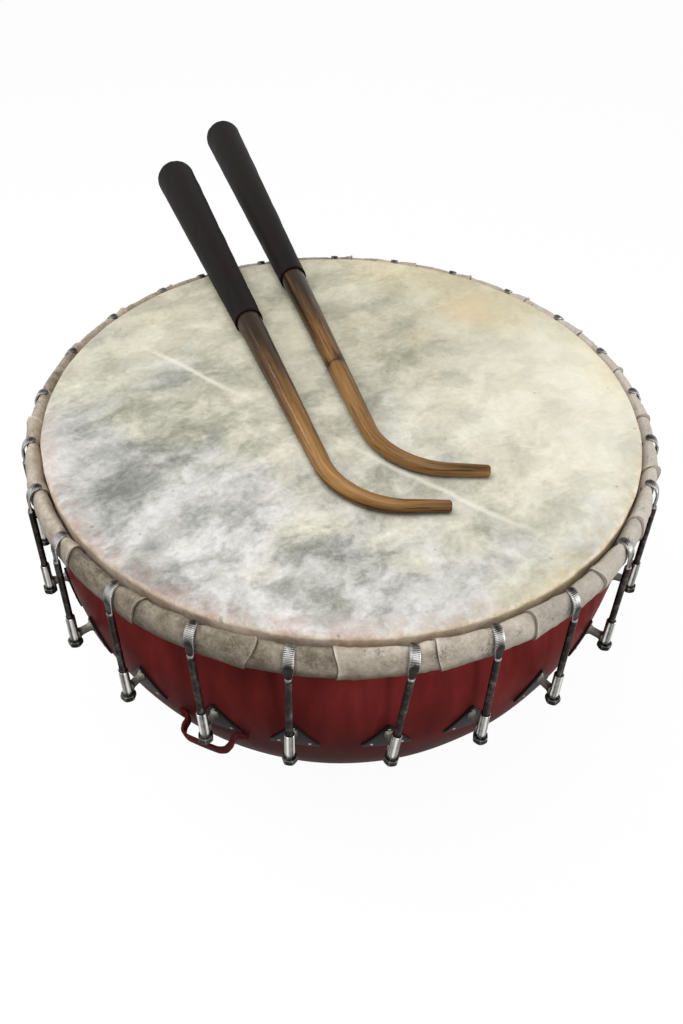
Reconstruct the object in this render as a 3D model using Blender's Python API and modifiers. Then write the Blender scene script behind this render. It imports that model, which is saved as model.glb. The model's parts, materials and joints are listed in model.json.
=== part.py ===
"""Nagara drum: a red kettle with a goatskin head drawn down by hooked rods, and its two bent sticks.

Metres, +Z up. The origin is the centre of the flat bottom, and the side seen in front faces -Y.
"""

import math

import bmesh
import bpy
from mathutils import Matrix, Vector

# Clearances
FIT_GAP = 0.0003  # between pieces that touch
THREAD_GAP = 0.0003  # round a rod in its tube or nut

# Shell
HEAD_RADIUS = 0.305  # outside of the skin at the bearing edge, for a 24 inch head
SHELL_HEIGHT = 0.400  # flat bottom to bearing edge
SHELL_WALL = 0.003
BEARING_ROUND = 0.0042  # outer rounding of the bearing edge
RIM_FLANGE = 0.0095  # rolled-in lip of the bearing edge
NECK_BELOW_HOOP = 0.006  # straight neck showing under the hoop
BELLY_SWELL = 0.010  # how far the belly stands out past the neck
BELLY_DROP = 0.110  # bearing edge down to the widest level
BASE_RADIUS = 0.112

# Head skin and flesh hoop
SKIN = 0.0012
HOOP_WIDTH = 0.0168  # upright oval of the hoop with the skin lapped round it
HOOP_HEIGHT = 0.036
HOOP_STANDOFF = 0.0018  # dark gap between the collar and the lapped hoop
HOOP_DROP = 0.0043  # head down to the top of the lapped hoop
TUCK_RADIUS = 0.007  # turn of the skin from the collar to the underside of the hoop
LAP_END_DEG = 165.0  # where the lap stops, past the top of the hoop

# Tension hooks, nuts and lugs
HOOK_COUNT = 25
HOOK_PHASE_DEG = -3.8  # first hook, measured from the front towards +X
# Lugs set by hand off the even spacing, and rods that hang out of line
HOOK_SHIFT_DEG = {
    0: -2.4, 1: -1.3, 2: -1.2, 3: -1.0, 5: 0.6, 14: 3.35, 15: 4.05, 21: -2.0, 22: -2.9, 23: -2.3, 24: -1.6,
}
HOOK_LEAN_DEG = {1: 5.2, 2: 0.8, 4: -0.8, 5: 2.2, 21: 1.2, 23: -1.8, 24: -2.9}
ROD_DIAMETER = 0.00635  # quarter inch
CLAW_WIDTH = 0.009
CLAW_THICKNESS = 0.003
CLAW_GAP = 0.001
CLAW_LIP_DEG = 122.0  # how far the claw reaches over the hoop, from its outer side
CLAW_TO_ROD = 0.001  # full round rod starts this far under the hoop
LUG_DROP = 0.086  # hoop centre down to the top of the tube
LUG_REACH = 0.0205  # shell out to the middle of the tube
TUBE_DIAMETER = 0.0092
TUBE_LENGTH = 0.0332
STRUT_WIDTH = 0.005
STRUT_HEIGHT = 0.008
STRUT_RISE = 0.006  # tube bottom up to the middle of the strut
PLATE_WIDTH = 0.050
PLATE_TOP = 0.010  # strut up to the plate's peak
PLATE_FOOT = 0.024  # strut down to the plate's lower edge
PLATE_THICKNESS = 0.002
NUT_ACROSS_FLATS = 0.0127
NUT_HEIGHT = 0.00635
NUT_CHAMFER = 0.0007
ROD_TAIL = 0.002  # rod showing under its nut

# Sling loops
LOOP_ANGLES_DEG = (-21.3, 158.7)
LOOP_HALF_SPAN = 0.0237
LOOP_REACH = 0.022  # shell out to the outside of the loop
LOOP_FOOT = 0.013
LOOP_WIDTH = 0.014
LOOP_THICKNESS = 0.003
LOOP_CORNER = 0.008
LOOP_BELOW_LUG = 0.003

# Sticks
STICK_CORNERS = ((0.004, -0.1695), (0.0435, -0.1145))  # where foot and handle would meet, seen from above
STICK_CROSSINGS_DEG = (212.6, 197.5)  # where each handle crosses the hoop
STICK_ANGLE_DEG = 107.5  # between foot and handle
FOOT_LENGTH = 0.097
HANDLE_1_LENGTH = 0.307  # corner to grip
HANDLE_2_LENGTH = 0.348
GRIP_1_LENGTH = 0.385
GRIP_2_LENGTH = 0.440
BEND_RADIUS = 0.080
TIP_RADIUS = 0.006
CANE_RADIUS = 0.0145  # at the grip
GRIP_FRONT_RADIUS = 0.0163
GRIP_END_RADIUS = 0.0265
GRIP_ROUND = 0.005
GRIP_CAP = 0.012

# Facets
SEGMENTS = 2 * HOOK_COUNT
ROD_SIDES = 8
LAP_STEPS = 7
FACET_TURN_DEG = 0.7  # turns the facets of the round pieces off the lugs, so that no edges coincide

# Worked out from the sizes above
neck_radius = HEAD_RADIUS - SKIN - FIT_GAP
head_top = SHELL_HEIGHT + FIT_GAP + SKIN
lap_flat = math.cos(math.radians(90.0 + LAP_END_DEG) / (2 * LAP_STEPS))  # the lap's flats to its corners
core_inset = SKIN / 2 + FIT_GAP
hoop_radius = HEAD_RADIUS + HOOP_STANDOFF + HOOP_WIDTH / 2
hoop_z = head_top - HOOP_DROP - HOOP_HEIGHT / 2
neck_z = hoop_z - HOOP_HEIGHT / 2 - NECK_BELOW_HOOP
belly_radius = neck_radius + BELLY_SWELL
belly_z = SHELL_HEIGHT - BELLY_DROP
bowl_depth = belly_z / math.sqrt(1 - (BASE_RADIUS / belly_radius) ** 2)
claw_out = HOOP_WIDTH / 2 + CLAW_GAP + CLAW_THICKNESS / 2
claw_up = HOOP_HEIGHT / 2 + CLAW_GAP + CLAW_THICKNESS / 2
rod_circle = hoop_radius + claw_out
tube_bottom = LUG_DROP + TUBE_LENGTH  # measured down from the hoop centre
strut_z = hoop_z - tube_bottom + STRUT_RISE
plate_foot_z = strut_z - PLATE_FOOT
plate_z = strut_z + (PLATE_TOP - PLATE_FOOT) / 2
nut_drop = tube_bottom + FIT_GAP + NUT_HEIGHT / 2
loop_z = plate_foot_z - LOOP_BELOW_LUG - LOOP_WIDTH / 2


def clear_scene():
    for obj in list(bpy.data.objects):
        bpy.data.objects.remove(obj, do_unlink=True)


def make_collection(name):
    collection = bpy.data.collections.new(name)
    bpy.context.scene.collection.children.link(collection)
    return collection


def paint(name, colour, roughness, metallic=0.0):
    material = bpy.data.materials.new(name)
    material.use_nodes = True
    shader = material.node_tree.nodes["Principled BSDF"]
    shader.inputs["Base Color"].default_value = (*colour, 1.0)
    shader.inputs["Roughness"].default_value = roughness
    shader.inputs["Metallic"].default_value = metallic
    return material


def place(name, mesh, collection, material, matrix=None):
    obj = bpy.data.objects.new(name, mesh)
    collection.objects.link(obj)
    if not mesh.materials:
        mesh.materials.append(material)
    if matrix is not None:
        obj.matrix_world = matrix
    return obj


def hide_cutter(obj):
    obj.hide_render = True
    obj.display_type = "WIRE"
    return obj


def mesh_of(bm, name, smooth_deg=40.0):
    mesh = bpy.data.meshes.new(name)
    bm.to_mesh(mesh)
    bm.free()
    mesh.shade_smooth()
    mesh.set_sharp_from_angle(angle=math.radians(smooth_deg))
    return mesh


def baked(obj, collection):
    """The object's shape with its modifiers worked in, as a mesh of its own; the object is removed."""
    bpy.context.view_layer.update()
    graph = bpy.context.evaluated_depsgraph_get()
    mesh = bpy.data.meshes.new_from_object(obj.evaluated_get(graph))
    collection.objects.unlink(obj)
    bpy.data.objects.remove(obj)
    return mesh


def arc(centre, out, up, start_deg, end_deg, steps):
    """Points on an oval arc in the (radius, height) plane, both ends included."""
    angles = [math.radians(start_deg + (end_deg - start_deg) * i / steps) for i in range(steps + 1)]
    return [(centre[0] + out * math.cos(a), centre[1] + up * math.sin(a)) for a in angles]


def turned(name, profile, collection, material, segments, matrix=None):
    """A profile of (radius, height) points, swept round Z. A ring's profile ends where it starts."""
    bm = bmesh.new()
    ring = math.dist(profile[0], profile[-1]) < 1e-9
    corners = [bm.verts.new((r, 0.0, z)) for r, z in (profile[:-1] if ring else profile)]
    corners += corners[:1] if ring else []
    for first, second in zip(corners, corners[1:]):
        bm.edges.new((first, second))
    obj = place(name, mesh_of(bm, name), collection, material, matrix)
    screw = obj.modifiers.new("turn", "SCREW")
    screw.axis = "Z"
    screw.steps = screw.render_steps = segments
    screw.use_merge_vertices = True
    screw.merge_threshold = 0.00005
    return obj


def join_boolean(obj, name, operation, tool):
    modifier = obj.modifiers.new(name, "BOOLEAN")
    modifier.operation = operation
    modifier.object = tool
    modifier.solver = "EXACT"


def polar_angle(hook_deg):
    """The angle from +X of a direction given from the front (-Y) towards +X."""
    return math.radians(hook_deg - 90.0)


def radial_frame(hook_deg, radius, z):
    """A frame at this place with X pointing outwards and Z up."""
    return Matrix.Rotation(polar_angle(hook_deg), 4, "Z") @ Matrix.Translation((radius, 0.0, z))


def lug_deg(index):
    return HOOK_PHASE_DEG + HOOK_SHIFT_DEG.get(index, 0.0) + index * 360.0 / HOOK_COUNT


def hook_frame(index):
    """The claw's frame, on the rod at the hoop's level. A leaning rod passes through its own lug."""
    lean = math.radians(HOOK_LEAN_DEG.get(index, 0.0))
    drop = hoop_z - strut_z
    top_deg = lug_deg(index) + math.degrees(math.atan2(drop * math.tan(lean), rod_circle))
    return radial_frame(top_deg, rod_circle, hoop_z) @ Matrix.Rotation(-lean, 4, "X")


def rod_flare():
    """The rods run outwards from the hoop to the lugs on the belly, by this angle."""
    lug_circle = shell_radius(strut_z) + LUG_REACH
    return math.atan2(lug_circle - rod_circle, hoop_z - strut_z)


def rod_frame(index):
    """The hook's frame turned so that Z lies along the rod."""
    return hook_frame(index) @ Matrix.Rotation(-rod_flare(), 4, "Y")


def shell_radius(z):
    """Outside of the shell: an ellipse under the belly, an easy swell above it, then the straight neck."""
    if z >= neck_z:
        return neck_radius
    if z >= belly_z:
        share = (neck_z - z) / (neck_z - belly_z)
        return neck_radius + BELLY_SWELL * (1 - math.cos(math.pi * share)) / 2
    return belly_radius * math.sqrt(1 - ((belly_z - z) / bowl_depth) ** 2)


def shell_slope(z):
    """How fast the shell widens with height."""
    step = 0.0005
    return (shell_radius(z + step) - shell_radius(z - step)) / (2 * step)


def shell_profile():
    levels = [neck_z + (belly_z - neck_z) * i / 3 for i in range(4)] + [plate_z]
    start, end = math.asin((belly_z - loop_z) / bowl_depth), math.asin(belly_z / bowl_depth)
    levels += [belly_z - bowl_depth * math.sin(start + (end - start) * i / 4) for i in range(4)]
    levels.sort(reverse=True)
    wall = [(shell_radius(z), z) for z in levels]
    outer = [(neck_radius - RIM_FLANGE, SHELL_HEIGHT)]
    edge = (neck_radius - BEARING_ROUND, SHELL_HEIGHT - BEARING_ROUND)
    outer += arc(edge, BEARING_ROUND, BEARING_ROUND, 90, 0, 2)
    outer += wall + [(BASE_RADIUS, 0.0), (0.0, 0.0)]
    inner = [(0.0, SHELL_WALL), (BASE_RADIUS - SHELL_WALL / 2, SHELL_WALL)]
    for z in reversed(levels):
        slope = shell_slope(z)
        length = math.hypot(1.0, slope)
        inner.append((shell_radius(z) - SHELL_WALL / length, z + SHELL_WALL * slope / length))
    under = SHELL_HEIGHT - SHELL_WALL
    inner += [(neck_radius - SHELL_WALL, SHELL_HEIGHT - BEARING_ROUND)]
    inner += [(neck_radius - BEARING_ROUND, under), (neck_radius - RIM_FLANGE, under)]
    return inner + outer


def lug_plate(index):
    """A three-cornered plate bedded in the wall, peak up, leaning with the wall."""
    face = shell_radius(plate_z)
    tilt = math.atan(shell_slope(plate_z))
    half_height = (PLATE_TOP + PLATE_FOOT) / 2
    bed = -0.8 * SHELL_WALL
    outline = ((-PLATE_WIDTH / 2, -half_height), (PLATE_WIDTH / 2, -half_height), (0.0, half_height))
    frame = radial_frame(lug_deg(index), face, plate_z) @ Matrix.Rotation(tilt, 4, "Y")
    return prism(outline, bed, PLATE_THICKNESS, frame)


def prism(outline, low, high, frame):
    """A (y, z) outline carried along X from low to high."""
    bm = bmesh.new()
    face = bm.faces.new([bm.verts.new((low, y, z)) for y, z in outline])
    swept = bmesh.ops.extrude_face_region(bm, geom=[face])["geom"]
    moved = [item for item in swept if isinstance(item, bmesh.types.BMVert)]
    bmesh.ops.translate(bm, verts=moved, vec=(high - low, 0.0, 0.0))
    bmesh.ops.recalc_face_normals(bm, faces=bm.faces)
    bm.transform(frame)
    return bm


def lug_strut(index):
    half_width, half_height = STRUT_WIDTH / 2, STRUT_HEIGHT / 2
    outline = [(y * half_width, z * half_height) for y, z in ((-1, -1), (1, -1), (1, 1), (-1, 1))]
    frame = radial_frame(lug_deg(index), shell_radius(strut_z), strut_z)
    return prism(outline, -SHELL_WALL / 2, LUG_REACH, frame)


def rod_cylinder(index, radius, top, bottom):
    """A cylinder on the rod's axis between two levels measured down from the hoop centre."""
    bm = bmesh.new()
    centre = Matrix.Translation((0.0, 0.0, -(top + bottom) / 2))
    turn = Matrix.Rotation(math.pi / ROD_SIDES, 4, "Z")
    bmesh.ops.create_cone(
        bm, cap_ends=True, segments=ROD_SIDES, radius1=radius, radius2=radius,
        depth=bottom - top, matrix=rod_frame(index) @ centre @ turn,
    )
    return bm


def group(name, pieces, collection, material):
    """All the copies of one lug member as one tool for the shell."""
    joined = bmesh.new()
    for bm in pieces:
        part = bpy.data.meshes.new(name)
        bm.to_mesh(part)
        bm.free()
        joined.from_mesh(part)
        bpy.data.meshes.remove(part)
    return hide_cutter(place(name, mesh_of(joined, name), collection, material))


def make_shell(parts, tools, red, steel):
    turn = Matrix.Rotation(polar_angle(HOOK_PHASE_DEG + FACET_TURN_DEG), 4, "Z")
    shell = turned("shell", shell_profile(), parts, red, SEGMENTS, turn)
    shell.data.materials.append(steel)
    hooks = range(HOOK_COUNT)
    bore = circled(ROD_DIAMETER / 2 + THREAD_GAP)
    plates = group("lug_plates", [lug_plate(i) for i in hooks], tools, steel)
    struts = group("lug_struts", [lug_strut(i) for i in hooks], tools, steel)
    tubes = [rod_cylinder(i, circled(TUBE_DIAMETER / 2), LUG_DROP, tube_bottom) for i in hooks]
    bores = [rod_cylinder(i, bore, LUG_DROP - STRUT_RISE, tube_bottom + STRUT_RISE) for i in hooks]
    join_boolean(shell, "plates", "UNION", plates)
    join_boolean(shell, "struts", "UNION", struts)
    join_boolean(shell, "tubes", "UNION", group("lug_tubes", tubes, tools, steel))
    join_boolean(shell, "bores", "DIFFERENCE", group("lug_bores", bores, tools, steel))


def circled(radius):
    """Corner radius of the polygon whose flats lie on this circle."""
    return radius / math.cos(math.pi / ROD_SIDES)


def skin_line():
    """The skin's middle line: across the head, over the edge, down the collar and round the hoop."""
    middle = head_top - SKIN / 2
    collar = HEAD_RADIUS - SKIN / 2
    turn = BEARING_ROUND + FIT_GAP + SKIN / 2
    lap_out, lap_up = HOOP_WIDTH / 2 - SKIN / 2, HOOP_HEIGHT / 2 - SKIN / 2
    line = [(0.0, middle)]
    line += arc((collar - turn, middle - turn), turn, turn, 90, 0, 2)
    tuck = (collar + TUCK_RADIUS, hoop_z - lap_up + TUCK_RADIUS)
    line += arc(tuck, TUCK_RADIUS, TUCK_RADIUS, 180, 270, 2)
    return line + arc((hoop_radius, hoop_z), lap_out, lap_up, 270, 360 + LAP_END_DEG, LAP_STEPS)


def make_skin(parts, material):
    line = [Vector(point) for point in skin_line()]
    over, under = [], []
    for i, point in enumerate(line):
        back = (point - line[i - 1]).normalized() if i else Vector((1.0, 0.0))
        ahead = (line[i + 1] - point).normalized() if i + 1 < len(line) else back
        along = (back + ahead).normalized()
        side = Vector((-along.y, along.x)) * (SKIN / 2) / max(along.dot(ahead), 0.5)
        over.append(tuple(point + side))
        under.append(tuple(point - side))
    turn = Matrix.Rotation(polar_angle(HOOK_PHASE_DEG + FACET_TURN_DEG), 4, "Z")
    turned("head_skin", over + under[::-1], parts, material, SEGMENTS, turn)


def make_hoop(parts, material):
    out = (HOOP_WIDTH / 2 - SKIN / 2) * lap_flat - core_inset
    up = (HOOP_HEIGHT / 2 - SKIN / 2) * lap_flat - core_inset
    profile = arc((hoop_radius, hoop_z), out, up, 90, -270, 6)
    turn = Matrix.Rotation(polar_angle(HOOK_PHASE_DEG + FACET_TURN_DEG), 4, "Z")
    turned("flesh_hoop", profile, parts, material, SEGMENTS, turn)


def hook_section(half_thick, half_wide, roundness):
    """Corner points of a section across the hook: a soft rectangle at 0, a circle at 1."""
    power = 0.5 + 0.5 * roundness
    points = []
    for k in range(ROD_SIDES):
        a = 2 * math.pi * k / ROD_SIDES
        c, s = math.cos(a), math.sin(a)
        across, along = math.copysign(abs(c) ** power, c), math.copysign(abs(s) ** power, s)
        points.append((across * half_thick, along * half_wide))
    return points


def hook_mesh():
    """A flat claw over the hoop, drawn out into the round rod. The origin is on the rod, at hoop level."""
    rod = ROD_DIAMETER / 2
    thick, wide = CLAW_THICKNESS / 2, CLAW_WIDTH / 2
    rings = []
    for i in range(6):
        a = math.radians(CLAW_LIP_DEG * (1 - i / 5))
        centre = Vector((claw_out * (math.cos(a) - 1), 0.0, claw_up * math.sin(a)))
        out = Vector((claw_up * math.cos(a), 0.0, claw_out * math.sin(a))).normalized()
        narrow = 0.75 if i == 0 else 1.0
        rings.append((centre, out, hook_section(thick, wide * narrow, 0.0)))
    flare = rod_flare()
    outward = Vector((math.cos(flare), 0.0, math.sin(flare)))
    down = Vector((math.sin(flare), 0.0, -math.cos(flare)))
    round_start = HOOP_HEIGHT / 2 + CLAW_TO_ROD
    for share in (0.5, 1.0):
        section = hook_section(thick + (rod - thick) * share, wide + (rod - wide) * share, share)
        rings.append((down * round_start * share, outward, section))
    rod_end = tube_bottom + FIT_GAP + NUT_HEIGHT + ROD_TAIL
    rings.append((down * rod_end, outward, hook_section(rod, rod, 1.0)))
    bm = bmesh.new()
    side = Vector((0.0, 1.0, 0.0))
    loops = []
    for centre, out, section in rings:
        loops.append([bm.verts.new(centre + out * x + side * y) for x, y in section])
    for upper, lower in zip(loops, loops[1:]):
        for k in range(ROD_SIDES):
            after = (k + 1) % ROD_SIDES
            bm.faces.new((upper[k], lower[k], lower[after], upper[after]))
    bm.faces.new(loops[0])
    bm.faces.new(loops[-1][::-1])
    bmesh.ops.recalc_face_normals(bm, faces=bm.faces)
    return mesh_of(bm, "tension_hook")


def nut_mesh(tools, steel):
    bm = bmesh.new()
    corner = NUT_ACROSS_FLATS / 2 / math.cos(math.pi / 6)
    bmesh.ops.create_cone(
        bm, cap_ends=True, segments=6, radius1=corner, radius2=corner, depth=NUT_HEIGHT,
    )
    top = max(bm.faces, key=lambda face: face.normal.z)
    bmesh.ops.bevel(bm, geom=list(top.edges), offset=NUT_CHAMFER, segments=1, affect="EDGES")
    nut = place("nut_blank", mesh_of(bm, "nut_blank"), tools, steel)
    hole = bmesh.new()
    bore = circled(ROD_DIAMETER / 2 + THREAD_GAP)
    bmesh.ops.create_cone(
        hole, cap_ends=True, segments=ROD_SIDES, radius1=bore, radius2=bore, depth=2 * NUT_HEIGHT,
        matrix=Matrix.Rotation(math.pi / ROD_SIDES, 4, "Z"),
    )
    drill = hide_cutter(place("nut_drill", mesh_of(hole, "nut_drill"), tools, steel))
    join_boolean(nut, "bore", "DIFFERENCE", drill)
    mesh = baked(nut, tools)
    mesh.name = "tension_nut"
    return mesh


def make_hooks(parts, tools, plated, steel):
    hook, nut = hook_mesh(), nut_mesh(tools, steel)
    for index in range(HOOK_COUNT):
        place(f"tension_hook_{index + 1:02d}", hook, parts, plated, hook_frame(index))
        under = rod_frame(index) @ Matrix.Translation((0.0, 0.0, -nut_drop))
        place(f"tension_nut_{index + 1:02d}", nut, parts, steel, under)


def make_loop(name, angle_deg, parts, red):
    """A strap bent out from the shell and back, with a flat foot at each end: a ribbon, thickened."""
    wall = shell_radius(loop_z)
    foot = wall + FIT_GAP + LOOP_THICKNESS / 2
    reach = wall + LOOP_REACH - LOOP_THICKNESS / 2
    corner_share = LOOP_CORNER / math.sqrt(2)
    half = [
        (foot, LOOP_HALF_SPAN + LOOP_FOOT),
        (foot, LOOP_HALF_SPAN + LOOP_THICKNESS),
        (foot + LOOP_THICKNESS, LOOP_HALF_SPAN),
        (reach - LOOP_CORNER, LOOP_HALF_SPAN),
        (reach - LOOP_CORNER + corner_share, LOOP_HALF_SPAN - LOOP_CORNER + corner_share),
        (reach, LOOP_HALF_SPAN - LOOP_CORNER),
        (reach, 0.0),
    ]
    plan = half + [(r, -along) for r, along in half[-2::-1]]
    bm = bmesh.new()
    rows = []
    for level in (-LOOP_WIDTH / 2, LOOP_WIDTH / 2):
        row = []
        for r, along in plan:
            turn = along / wall
            row.append(bm.verts.new((r * math.cos(turn) - wall, r * math.sin(turn), level)))
        rows.append(row)
    for i in range(len(plan) - 1):
        bm.faces.new((rows[0][i], rows[0][i + 1], rows[1][i + 1], rows[1][i]))
    tilt = Matrix.Rotation(math.atan(shell_slope(loop_z)), 4, "Y")
    obj = place(name, mesh_of(bm, name), parts, red, radial_frame(angle_deg, wall, loop_z) @ tilt)
    thick = obj.modifiers.new("strap", "SOLIDIFY")
    thick.thickness = LOOP_THICKNESS
    thick.offset = 0.0
    thick.use_even_offset = True


def stick_path(corner, crossing_deg, handle_length, grip_length):
    """Middle line of a stick lying on the head, with its radius at each point, and the grip's frame.

    It runs from the tip along the foot, round the bend and up the handle to the cane's hidden end.
    """
    aim_angle = polar_angle(crossing_deg)
    aim = Vector((math.cos(aim_angle), math.sin(aim_angle))) * hoop_radius
    corner = Vector(corner)
    handle = (aim - corner).normalized()
    foot = Matrix.Rotation(-math.radians(STICK_ANGLE_DEG), 2) @ handle
    half_turn = math.radians(180.0 - STICK_ANGLE_DEG) / 2
    trim = BEND_RADIUS * math.tan(half_turn)
    centre = corner + (foot + handle).normalized() * BEND_RADIUS / math.cos(half_turn)
    bend = []
    for i in range(7):
        a = half_turn * (i / 3 - 1)
        spoke = (corner - centre).normalized() * BEND_RADIUS
        bend.append(centre + Matrix.Rotation(-a, 2) @ spoke)
    flat = [corner + foot * FOOT_LENGTH] + bend + [corner + handle * handle_length]
    lengths = [0.0]
    for first, second in zip(flat, flat[1:]):
        lengths.append(lengths[-1] + (second - first).length)
    radii = [TIP_RADIUS + (CANE_RADIUS - TIP_RADIUS) * along / lengths[-1] for along in lengths]
    straight = handle_length - trim
    base = radii[-2]
    rise = max((CANE_RADIUS - base) / straight, (GRIP_FRONT_RADIUS - base) / straight,
               (GRIP_END_RADIUS - base) / (straight + grip_length))
    rest = head_top + FIT_GAP
    path = [Vector((*point, rest + radius)) for point, radius in zip(flat, radii)]
    path[-1].z = rest + base + rise * straight
    direction = Vector((*handle, rise)).normalized()
    path.append(path[-1] + direction * (grip_length - GRIP_CAP - FIT_GAP))
    radii.append(CANE_RADIUS)
    turn = direction.to_track_quat("Z", "Y").to_matrix().to_4x4()
    return path, radii, Matrix.Translation(path[-2]) @ turn


def make_stick(number, corner, crossing_deg, handle_length, grip_length, parts, cane, black):
    path, radii, grip_frame = stick_path(corner, crossing_deg, handle_length, grip_length)
    curve = bpy.data.curves.new(f"stick_{number}_cane", "CURVE")
    curve.dimensions = "3D"
    curve.bevel_depth = 1.0
    curve.bevel_resolution = 3
    curve.use_fill_caps = True
    spline = curve.splines.new("POLY")
    spline.points.add(len(path) - 1)
    for knot, point, radius in zip(spline.points, path, radii):
        knot.co = (*point, 1.0)
        knot.radius = radius
    curve.materials.append(cane)
    parts.objects.link(bpy.data.objects.new(curve.name, curve))
    bore = CANE_RADIUS + FIT_GAP
    bottom = grip_length - GRIP_CAP
    profile = [(0.0, grip_length), (GRIP_END_RADIUS - GRIP_ROUND, grip_length)]
    profile += [(GRIP_END_RADIUS, grip_length - GRIP_ROUND), (GRIP_FRONT_RADIUS, 0.0)]
    profile += [(bore, 0.0), (bore, bottom), (0.0, bottom)]
    turned(f"stick_{number}_grip", profile, parts, black, 16, grip_frame)


def main():
    clear_scene()
    parts = make_collection("nagara_drum")
    tools = make_collection("cutters")
    red = paint("red_paint", (0.23, 0.012, 0.014), 0.3)
    steel = paint("dull_steel", (0.20, 0.20, 0.19), 0.42, 1.0)
    plated = paint("plated_rod", (0.42, 0.42, 0.41), 0.32, 1.0)
    skin = paint("goatskin", (0.62, 0.60, 0.50), 0.6)
    iron = paint("hoop_iron", (0.16, 0.15, 0.14), 0.6, 1.0)
    cane = paint("cane", (0.33, 0.17, 0.055), 0.4)
    black = paint("black_rubber", (0.012, 0.011, 0.011), 0.65)
    make_shell(parts, tools, red, steel)
    make_skin(parts, skin)
    make_hoop(parts, iron)
    make_hooks(parts, tools, plated, steel)
    for number, angle_deg in enumerate(LOOP_ANGLES_DEG, 1):
        make_loop(f"sling_loop_{number}", angle_deg, parts, red)
    lengths = ((HANDLE_1_LENGTH, GRIP_1_LENGTH), (HANDLE_2_LENGTH, GRIP_2_LENGTH))
    for number, (handle, grip) in enumerate(lengths, 1):
        corner, crossing_deg = STICK_CORNERS[number - 1], STICK_CROSSINGS_DEG[number - 1]
        make_stick(number, corner, crossing_deg, handle, grip, parts, cane, black)


main()
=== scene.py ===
import json
import math
from functools import partial

import bmesh
import bpy
import numpy as np
from mathutils import Matrix, Vector


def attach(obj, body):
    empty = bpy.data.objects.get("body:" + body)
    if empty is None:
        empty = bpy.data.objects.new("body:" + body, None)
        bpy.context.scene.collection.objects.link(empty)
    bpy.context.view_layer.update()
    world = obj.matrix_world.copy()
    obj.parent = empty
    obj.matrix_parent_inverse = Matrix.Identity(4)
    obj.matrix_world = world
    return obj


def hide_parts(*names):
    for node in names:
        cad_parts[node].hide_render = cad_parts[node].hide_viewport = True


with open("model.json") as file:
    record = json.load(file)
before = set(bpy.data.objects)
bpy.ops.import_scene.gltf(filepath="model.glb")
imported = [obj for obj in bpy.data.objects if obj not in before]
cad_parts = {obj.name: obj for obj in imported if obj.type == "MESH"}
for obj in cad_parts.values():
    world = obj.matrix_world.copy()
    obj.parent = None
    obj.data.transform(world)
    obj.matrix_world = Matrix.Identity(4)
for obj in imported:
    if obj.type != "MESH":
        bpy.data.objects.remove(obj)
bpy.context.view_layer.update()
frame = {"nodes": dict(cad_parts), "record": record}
tau = 2 * math.pi
scene = bpy.context.scene


def hexColour(code):
    # sRGB hex to linear red, green, blue and alpha, by the straight or the power part of the sRGB curve
    parts = [int(code[i:i + 2], 16) / 255 for i in (1, 3, 5)]
    return tuple(c / 12.92 if c <= 0.04045 else ((c + 0.055) / 1.055) ** 2.4 for c in parts) + (1.0,)


def plug(node, sockets):
    # input name or number -> a number, a hex colour, an output, or a node for its first live output
    for key, value in sockets.items():
        if isinstance(value, bpy.types.Node):
            value = next(output for output in value.outputs if output.enabled)
        if isinstance(value, bpy.types.NodeSocket):
            node.id_data.links.new(value, node.inputs[key])
        else:
            node.inputs[key].default_value = hexColour(value) if isinstance(value, str) else value


def addNode(tree, kind, sockets=None, stops=(), **settings):
    # a shader node with its settings and links; stops are a ramp's places and colours
    node = tree.nodes.new("ShaderNode" + kind)
    for key, value in settings.items():
        setattr(node, key, value)
    plug(node, sockets or {})
    for number, (place, colour) in enumerate(stops):
        ramp = node.color_ramp.elements
        stop = ramp[number] if number < 2 else ramp.new(place)
        stop.position, stop.color = place, hexColour(colour)
    return node


def freshTree(block):
    # empties the node tree of a finish or the world, and gives the function that adds nodes to it
    block.use_nodes = True
    block.node_tree.nodes.clear()
    return partial(addNode, block.node_tree)


def startFinish(name, sockets):
    # a new finish, the function that adds its nodes, its shader and object coordinates in metres
    finish = bpy.data.materials.new(name)
    add = freshTree(finish)
    shader = add("BsdfPrincipled", sockets)
    add("OutputMaterial", {"Surface": shader})
    return finish, add, shader, add("TexCoord").outputs["Object"]


def perMetre(size):
    # a noise's scale from the size of its lumps in millimetres: how many go into a metre
    return 1000 / size


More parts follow.
